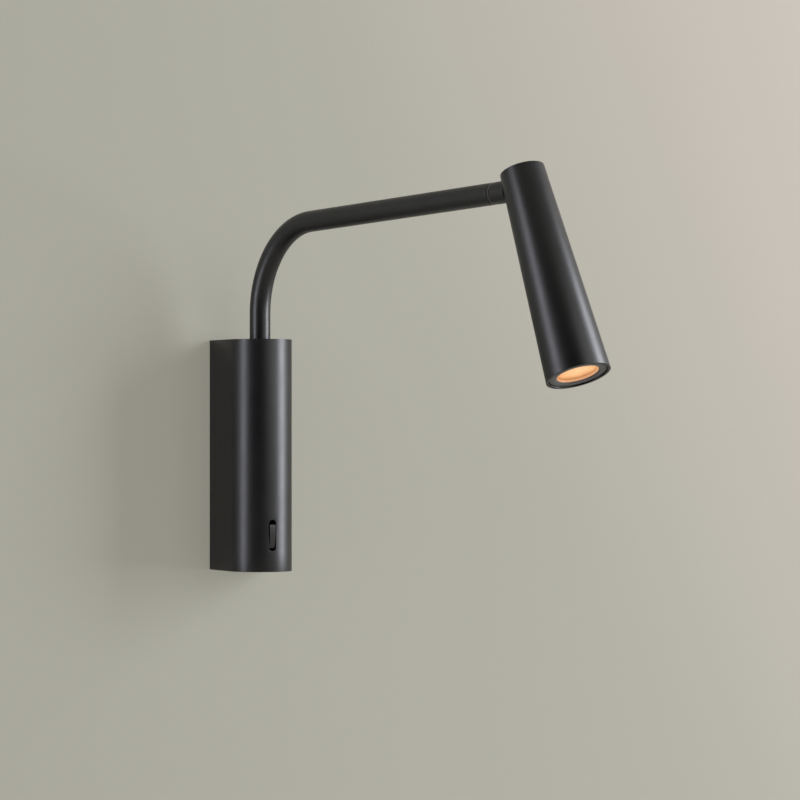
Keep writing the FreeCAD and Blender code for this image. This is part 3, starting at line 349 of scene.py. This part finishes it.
def makeBoxShell(look):
    bpy.ops.object.select_all(action="DESELECT")
    bpy.ops.mesh.primitive_cylinder_add(vertices=look["segments"], radius=look["half"] * mm,
                                        depth=look["height"] * mm, end_fill_type="NOTHING",
                                        location=(0, -look["axisDepth"] * mm, 0))
    shell = bpy.context.object
    shell.name = "boxShell"
    settle(shell)
    bpy.ops.object.mode_set(mode="EDIT")
    bpy.ops.mesh.select_all(action="SELECT")
    bpy.ops.mesh.bisect(plane_co=(0, -look["axisDepth"] * mm, 0), plane_no=(0, 1, 0), clear_outer=True)
    bpy.ops.object.mode_set(mode="OBJECT")
    pickVertices(shell, lambda p: p.y > -(look["axisDepth"] + pickSlack) * mm)
    bpy.ops.mesh.extrude_edges_move()
    bpy.ops.transform.translate(value=(0, look["axisDepth"] * mm, 0))
    bpy.ops.mesh.select_all(action="SELECT")
    bpy.ops.mesh.remove_doubles(threshold=weldGap)
    bpy.ops.object.mode_set(mode="OBJECT")
    useModifier(shell, "SOLIDIFY", {"thickness": look["wall"] * mm, "offset": -1, "use_even_offset": True})

    # edges round the shell above and below the slot keep the long faces smooth
    bpy.ops.object.mode_set(mode="EDIT")
    for side in (1, -1):
        bpy.ops.mesh.select_all(action="SELECT")
        edgeLevel = look["slotLevel"] + side * (look["slotHeight"] / 2 + look["slotMargin"])
        bpy.ops.mesh.bisect(plane_co=(0, 0, edgeLevel * mm), plane_no=(0, 0, 1))
    bpy.ops.object.mode_set(mode="OBJECT")

    # the slot is cut by a stretched round bar
    bpy.ops.object.select_all(action="DESELECT")
    front = (0, -(look["axisDepth"] + look["half"]) * mm, look["slotLevel"] * mm)
    bpy.ops.mesh.primitive_cylinder_add(vertices=look["slotSegments"], radius=look["slotWidth"] / 2 * mm,
                                        depth=look["slotCut"] * mm, location=front,
                                        rotation=(math.pi / 2, 0, 0))
    tool = bpy.context.object
    settle(tool)
    shift = (look["slotHeight"] - look["slotWidth"]) / 2 * mm
    roundTop = (look["slotWidth"] / 2 + pickSlack) * mm
    for side in (1, -1):
        pickVertices(tool, lambda p: 0 < side * (p.z - look["slotLevel"] * mm) < roundTop)
        bpy.ops.transform.translate(value=(0, 0, side * shift))
        bpy.ops.object.mode_set(mode="OBJECT")
    cutWith(shell, tool)
    softenEdges(shell, look["edge"])
    shell.data.materials.clear()
    shell.data.materials.append(satinBlack)
    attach(shell, "base")
    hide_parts("housing")


makeBoxShell(boxLook)

# the head's cone: thin wall, a slot at the back and top for the swivel's tongue, a hole for its screw
sleeveLook = {"above": 10.5, "below": 107.0, "topRadius": 11.95, "mouthRadius": 17.25, "wall": 1.5,
              "segments": 160, "edge": 0.35, "slotReach": 6.3, "slotEnd": 34.0, "screwLevel": -10.6,
              "screwRadius": 1.54, "screwCut": 30.0, "screwSegments": 40}


def makeHeadSleeve(look):
    bpy.ops.object.select_all(action="DESELECT")
    bpy.ops.mesh.primitive_cone_add(vertices=look["segments"], radius1=look["mouthRadius"] * mm,
                                    radius2=look["topRadius"] * mm, end_fill_type="NOTHING",
                                    depth=(look["above"] + look["below"]) * mm,
                                    location=(0, 0, (look["above"] - look["below"]) / 2 * mm))
    sleeve = bpy.context.object
    sleeve.name = "headSleeve"
    settle(sleeve)
    useModifier(sleeve, "SOLIDIFY", {"thickness": look["wall"] * mm, "offset": -1, "use_even_offset": True})
    # two blocks cut the slot, one through the back and one through the top
    reach, end = look["slotReach"], look["slotEnd"]
    for lowY, lowZ in ((0, -reach), (-reach, 0)):
        bpy.ops.object.select_all(action="DESELECT")
        bpy.ops.mesh.primitive_cube_add(size=1, location=(0, (lowY + end) / 2 * mm, (lowZ + end) / 2 * mm))
        tool = bpy.context.object
        tool.scale = (2 * reach * mm, (end - lowY) * mm, (end - lowZ) * mm)
        settle(tool)
        cutWith(sleeve, tool)
    bpy.ops.object.select_all(action="DESELECT")
    bpy.ops.mesh.primitive_cylinder_add(vertices=look["screwSegments"], radius=look["screwRadius"] * mm,
                                        depth=look["screwCut"] * mm, rotation=(math.pi / 2, 0, 0),
                                        location=(0, look["screwCut"] / 2 * mm, look["screwLevel"] * mm))
    tool = bpy.context.object
    settle(tool)
    cutWith(sleeve, tool)
    softenEdges(sleeve, look["edge"])
    settle(sleeve, headPlace)
    sleeve.data.materials.clear()
    sleeve.data.materials.append(satinBlack)
    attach(sleeve, "head")
    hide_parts("head_shell")


makeHeadSleeve(sleeveLook)

# the grey ring in the mouth, bevelled down to its aperture, and the thin trim inside it, which carries
# painted reflection of the lens's light
ringLook = {"face": -106.4, "thickness": 1.6, "outer": 15.28, "aperture": 11.2, "bevel": 0.8, "edge": 0.12,
            "segments": 128}
trimLook = {"front": -105.9, "length": 1.3, "outer": 11.15, "inner": 10.85, "step": 0.2, "edge": 0.08,
            "segments": 96}


# a ring drawn round from its outline: one circle, extruded from rim to rim and closed on itself
def turnRing(name, rims, segments):
    bpy.ops.object.select_all(action="DESELECT")
    radius, level = rims[0]
    bpy.ops.mesh.primitive_circle_add(vertices=segments, radius=radius * mm, location=(0, 0, level * mm))
    ring = bpy.context.object
    ring.name = name
    settle(ring)
    bpy.ops.object.mode_set(mode="EDIT")
    bpy.ops.mesh.select_all(action="SELECT")
    for nextRadius, nextLevel in rims[1:] + rims[:1]:
        bpy.ops.mesh.extrude_edges_move()
        bpy.ops.transform.translate(value=(0, 0, (nextLevel - level) * mm))
        bpy.ops.transform.resize(value=(nextRadius / radius, nextRadius / radius, 1))
        radius, level = nextRadius, nextLevel
    bpy.ops.mesh.select_all(action="SELECT")
    bpy.ops.mesh.remove_doubles(threshold=weldGap)
    bpy.ops.mesh.normals_make_consistent(inside=False)
    bpy.ops.object.mode_set(mode="OBJECT")
    return ring


def makeFrontRing(look):
    back = look["face"] + look["thickness"]
    rims = [(look["outer"], look["face"]), (look["outer"], back), (look["aperture"], back),
            (look["aperture"], look["face"] + look["bevel"]),
            (look["aperture"] + look["bevel"], look["face"])]
    ring = turnRing("frontRing", rims, look["segments"])
    softenEdges(ring, look["edge"])
    settle(ring, headPlace)
    ring.data.materials.append(charcoalPaint)
    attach(ring, "head")
    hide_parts("front_ring")


def makeApertureTrim(look):
    back = look["front"] + look["length"]
    rims = [(look["outer"], look["front"]), (look["outer"], back), (look["inner"], back),
            (look["inner"], look["front"] + look["step"])]
    trim = turnRing("apertureTrim", rims, look["segments"])
    softenEdges(trim, look["edge"])
    settle(trim, headPlace)
    # the trim's finish is painted reflection of the lens's light
    trim.data.materials.append(paintedReflectionTrim)
    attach(trim, "head")


makeFrontRing(ringLook)
makeApertureTrim(trimLook)
print("box, head sleeve and front ring modelled")

# what the camera sees: 25 degrees to the left of the box's front, level, through a long lens
cameraLook = {"place": (-0.79535, -1.89834, 0.01724), "turn": -25.37, "lens": 157.5, "sensor": 36.0,
              "shiftY": 0.0318, "farEnd": 20}


# level direction from the lamp, given in degrees to the right of the camera
def fromCamera(degrees):
    turn = math.radians(cameraLook["turn"])
    toCamera = Vector((math.sin(turn), -math.cos(turn), 0))
    toRight = Vector((-toCamera.y, toCamera.x, 0))
    return toCamera * math.cos(math.radians(degrees)) + toRight * math.sin(math.radians(degrees))


# 1 for rays from the camera and through glass, and a share of 1 for rays mirrored by the lamp
def seenRays(tree, mirrored=None):
    path = addNode(tree, "ShaderNodeLightPath")
    glossy = path.outputs["Is Glossy Ray"]
    if mirrored is not None:
        glossy = addNode(tree, "ShaderNodeMath", {"operation": "MULTIPLY"}, values={1: mirrored},
                         links={0: glossy}).outputs[0]
    seen = addNode(tree, "ShaderNodeMath", {"operation": "MAXIMUM"},
                   links={0: path.outputs["Is Camera Ray"], 1: glossy}).outputs[0]
    return addNode(tree, "ShaderNodeMath", {"operation": "MAXIMUM"},
                   links={0: seen, 1: path.outputs["Is Transmission Ray"]}).outputs[0]


# paint that takes shadows, mixed with its own plain colour where the camera sees it
def shadedPaint(tree, paint, glow, share, seen):
    part = addNode(tree, "ShaderNodeMath", {"operation": "MULTIPLY"}, values={1: share},
                   links={0: seen}).outputs[0]
    return addNode(tree, "ShaderNodeMixShader", links={"Fac": part, 1: paint.outputs[0], 2: glow.outputs[0]})


# the wall, with a cut-out behind the box, clear from behind so that the lamp's back shows
def makeWall(look):
    material, tree = newMaterial("wallPaint")
    place = addNode(tree, "ShaderNodeTexCoord").outputs["Object"]
    apart = addNode(tree, "ShaderNodeSeparateXYZ", links={"Vector": place})
    # painted light: the wall's tone grows lighter towards the right and the top, where the light falls; the
    # blotches are the paint's own uneven tone
    across = addNode(tree, "ShaderNodeMath", {"operation": "MULTIPLY"}, values={1: look["paintedLightAcross"]},
                     links={0: apart.outputs["X"]}).outputs[0]
    upward = addNode(tree, "ShaderNodeMath", {"operation": "MULTIPLY_ADD"}, values={1: look["paintedLightUp"]},
                     links={0: apart.outputs["Z"], 2: across}).outputs[0]
    blotch = addNode(tree, "ShaderNodeTexNoise", values={"Scale": look["blotchScale"]},
                     links={"Vector": place})
    mixed = addNode(tree, "ShaderNodeMath", {"operation": "MULTIPLY_ADD"}, values={1: look["blotch"]},
                    links={0: blotch.outputs["Fac"], 2: upward}).outputs[0]
    tone = addNode(tree, "ShaderNodeValToRGB", links={"Fac": mixed})
    tone.color_ramp.elements[0].position, tone.color_ramp.elements[1].position = look["span"]
    tone.color_ramp.elements[0].color = linear(look["deep"])
    tone.color_ramp.elements[1].color = linear(look["light"])
    dim = addNode(tree, "ShaderNodeMixRGB", {"blend_type": "MULTIPLY"},
                  values={"Fac": 1.0, "Color2": (look["paint"],) * 3 + (1.0,)},
                  links={"Color1": tone.outputs["Color"]})
    paint = addNode(tree, "ShaderNodeBsdfDiffuse", links={"Color": dim.outputs["Color"]})
    glow = addNode(tree, "ShaderNodeEmission", values={"Strength": look["plain"]},
                   links={"Color": tone.outputs["Color"]})
    surface = shadedPaint(tree, paint, glow, look["share"], seenRays(tree, look["mirrored"]))
    clear = addNode(tree, "ShaderNodeBsdfTransparent")
    side = addNode(tree, "ShaderNodeNewGeometry").outputs["Backfacing"]
    face = addNode(tree, "ShaderNodeMixShader",
                   links={"Fac": side, 1: surface.outputs[0], 2: clear.outputs[0]})
    addNode(tree, "ShaderNodeOutputMaterial", links={"Surface": face.outputs[0]})

    bpy.ops.object.select_all(action="DESELECT")
    bpy.ops.mesh.primitive_plane_add(size=1, location=(0, look["gap"] * mm, 0), rotation=(math.pi / 2, 0, 0))
    wall = bpy.context.object
    wall.name = "wall"
    wall.scale = (look["cutWidth"] * mm, look["cutHeight"] * mm, 1)  # the edge of the cut-out comes first
    bpy.ops.object.transform_apply(location=True, rotation=True, scale=True)
    bpy.ops.object.mode_set(mode="EDIT")
    bpy.ops.mesh.select_all(action="SELECT")
    bpy.ops.mesh.delete(type="ONLY_FACE")
    bpy.ops.mesh.select_all(action="SELECT")
    bpy.ops.mesh.extrude_edges_move()
    bpy.ops.transform.resize(value=(look["width"] / (look["cutWidth"] * mm), 1,
                                    look["height"] / (look["cutHeight"] * mm)))
    bpy.ops.mesh.select_all(action="SELECT")
    bpy.ops.mesh.normals_make_consistent(inside=False)
    bpy.ops.object.mode_set(mode="OBJECT")
    if wall.data.polygons[0].normal.y > 0:
        wall.data.flip_normals()
    wall.data.materials.append(material)


# the two tilts paint the light falling on the wall's right and top
makeWall({"gap": 0.3, "cutWidth": 33.0, "cutHeight": 130.0, "width": 2.2, "height": 3.0,
          "deep": "#adab9e", "light": "#bdb5ab", "span": (0.17, 0.46), "paintedLightAcross": 0.8, "paintedLightUp": 0.5,
          "blotch": 0.04, "blotchScale": 5.0, "plain": 1.16, "share": 0.45, "mirrored": 0.35, "paint": 0.85})


# pale floor, well below the lamp
def makeFloor(look):
    material, tree = newMaterial("paleFloor")
    place = addNode(tree, "ShaderNodeTexCoord").outputs["Object"]
    blotch = addNode(tree, "ShaderNodeTexNoise",
                     values={"Scale": look["blotchScale"], "Detail": look["blotchDetail"]},
                     links={"Vector": place})
    tone = addNode(tree, "ShaderNodeValToRGB", links={"Fac": blotch.outputs["Fac"]})
    tone.color_ramp.elements[0].color = linear(look["deep"])
    tone.color_ramp.elements[1].color = linear(look["light"])
    paint = addNode(tree, "ShaderNodeBsdfDiffuse", links={"Color": tone.outputs["Color"]})
    glow = addNode(tree, "ShaderNodeEmission", links={"Color": tone.outputs["Color"]})
    surface = shadedPaint(tree, paint, glow, look["share"], seenRays(tree))
    addNode(tree, "ShaderNodeOutputMaterial", links={"Surface": surface.outputs[0]})
    bpy.ops.object.select_all(action="DESELECT")
    bpy.ops.mesh.primitive_plane_add(size=look["size"], location=(0, 0, look["level"]))
    floor = bpy.context.object
    floor.name = "floor"
    floor.data.materials.append(material)


makeFloor({"size": 12.0, "level": -0.9, "deep": "#bdbab0", "light": "#c8c5bc", "share": 0.85,
           "blotchScale": 3.0, "blotchDetail": 3.0})


# one soft panel, placed by its angle to the right of the camera and its height
def addPanel(name, look):
    way = (fromCamera(look["right"]) + Vector((0, 0, math.tan(math.radians(look["up"]))))).normalized()
    light = bpy.data.lights.new(name, "AREA")
    light.shape = "RECTANGLE"
    light.size, light.size_y = look["size"]
    light.energy = look["power"]
    light.color = linear(look["colour"])[:3]
    lamp = bpy.data.objects.new(name, light)
    scene.collection.objects.link(lamp)
    lamp.location = Vector(look["aim"]) + way * look["away"]
    lamp.rotation_euler = (-way).to_track_quat("-Z", "Y").to_euler()
    lamp.visible_camera = False


addPanel("brightPanel", {"right": 91, "up": 11, "away": 2.0, "size": (0.78, 1.57), "power": 68.0,
                         "colour": "#f4f7ff", "aim": (0, -0.12, 0.05)})
addPanel("leftPanel", {"right": -65, "up": 8, "away": 1.2, "size": (0.27, 1.3), "power": 12.0,
                       "colour": "#f2f4ff", "aim": (0, -0.14, 0.05)})
addPanel("fillPanel", {"right": 45, "up": 20, "away": 1.8, "size": (0.9, 0.9), "power": 6.0,
                       "colour": "#ffffff", "aim": (0, -0.12, 0.03)})


# a dark card behind the camera, which the coat's middle reflects
def makeDarkCard(look):
    material, tree = newMaterial("darkCard")
    paint = addNode(tree, "ShaderNodeBsdfDiffuse", values={"Color": linear(look["colour"])})
    addNode(tree, "ShaderNodeOutputMaterial", links={"Surface": paint.outputs[0]})
    way = fromCamera(look["right"])
    bpy.ops.object.select_all(action="DESELECT")
    bpy.ops.mesh.primitive_plane_add(size=1, location=way * look["away"] + Vector((0, 0, look["level"])))
    card = bpy.context.object
    card.name = "darkCard"
    card.scale = (look["size"][0], look["size"][1], 1)
    card.rotation_euler = way.to_track_quat("Z", "Y").to_euler()
    card.visible_camera = False
    card.data.materials.append(material)


makeDarkCard({"right": -10, "away": 2.4, "level": 0.7, "size": (4.0, 2.3), "colour": "#161616"})


# plain grey room
def makeWorld(look):
    world = bpy.data.worlds.new("plainRoom")
    scene.world = world
    world.use_nodes = True
    tree = world.node_tree
    tree.nodes.clear()
    dim = addNode(tree, "ShaderNodeBackground",
                  values={"Color": linear(look["light"]), "Strength": look["strength"]})
    pale = addNode(tree, "ShaderNodeBackground", values={"Color": linear(look["seen"]), "Strength": 1.0})
    both = addNode(tree, "ShaderNodeMixShader",
                   links={"Fac": seenRays(tree), 1: dim.outputs[0], 2: pale.outputs[0]})
    addNode(tree, "ShaderNodeOutputWorld", links={"Surface": both.outputs[0]})


makeWorld({"light": "#ffffff", "strength": 0.25, "seen": "#b4b3ab"})
print("stage and light ready")

camera = bpy.data.objects.new("camera", bpy.data.cameras.new("camera"))
scene.collection.objects.link(camera)
camera.location = cameraLook["place"]
camera.rotation_euler = (math.pi / 2, 0, math.radians(cameraLook["turn"]))
camera.data.lens = cameraLook["lens"]
camera.data.sensor_width = cameraLook["sensor"]
camera.data.shift_y = cameraLook["shiftY"]
camera.data.clip_end = cameraLook["farEnd"]
scene.camera = camera
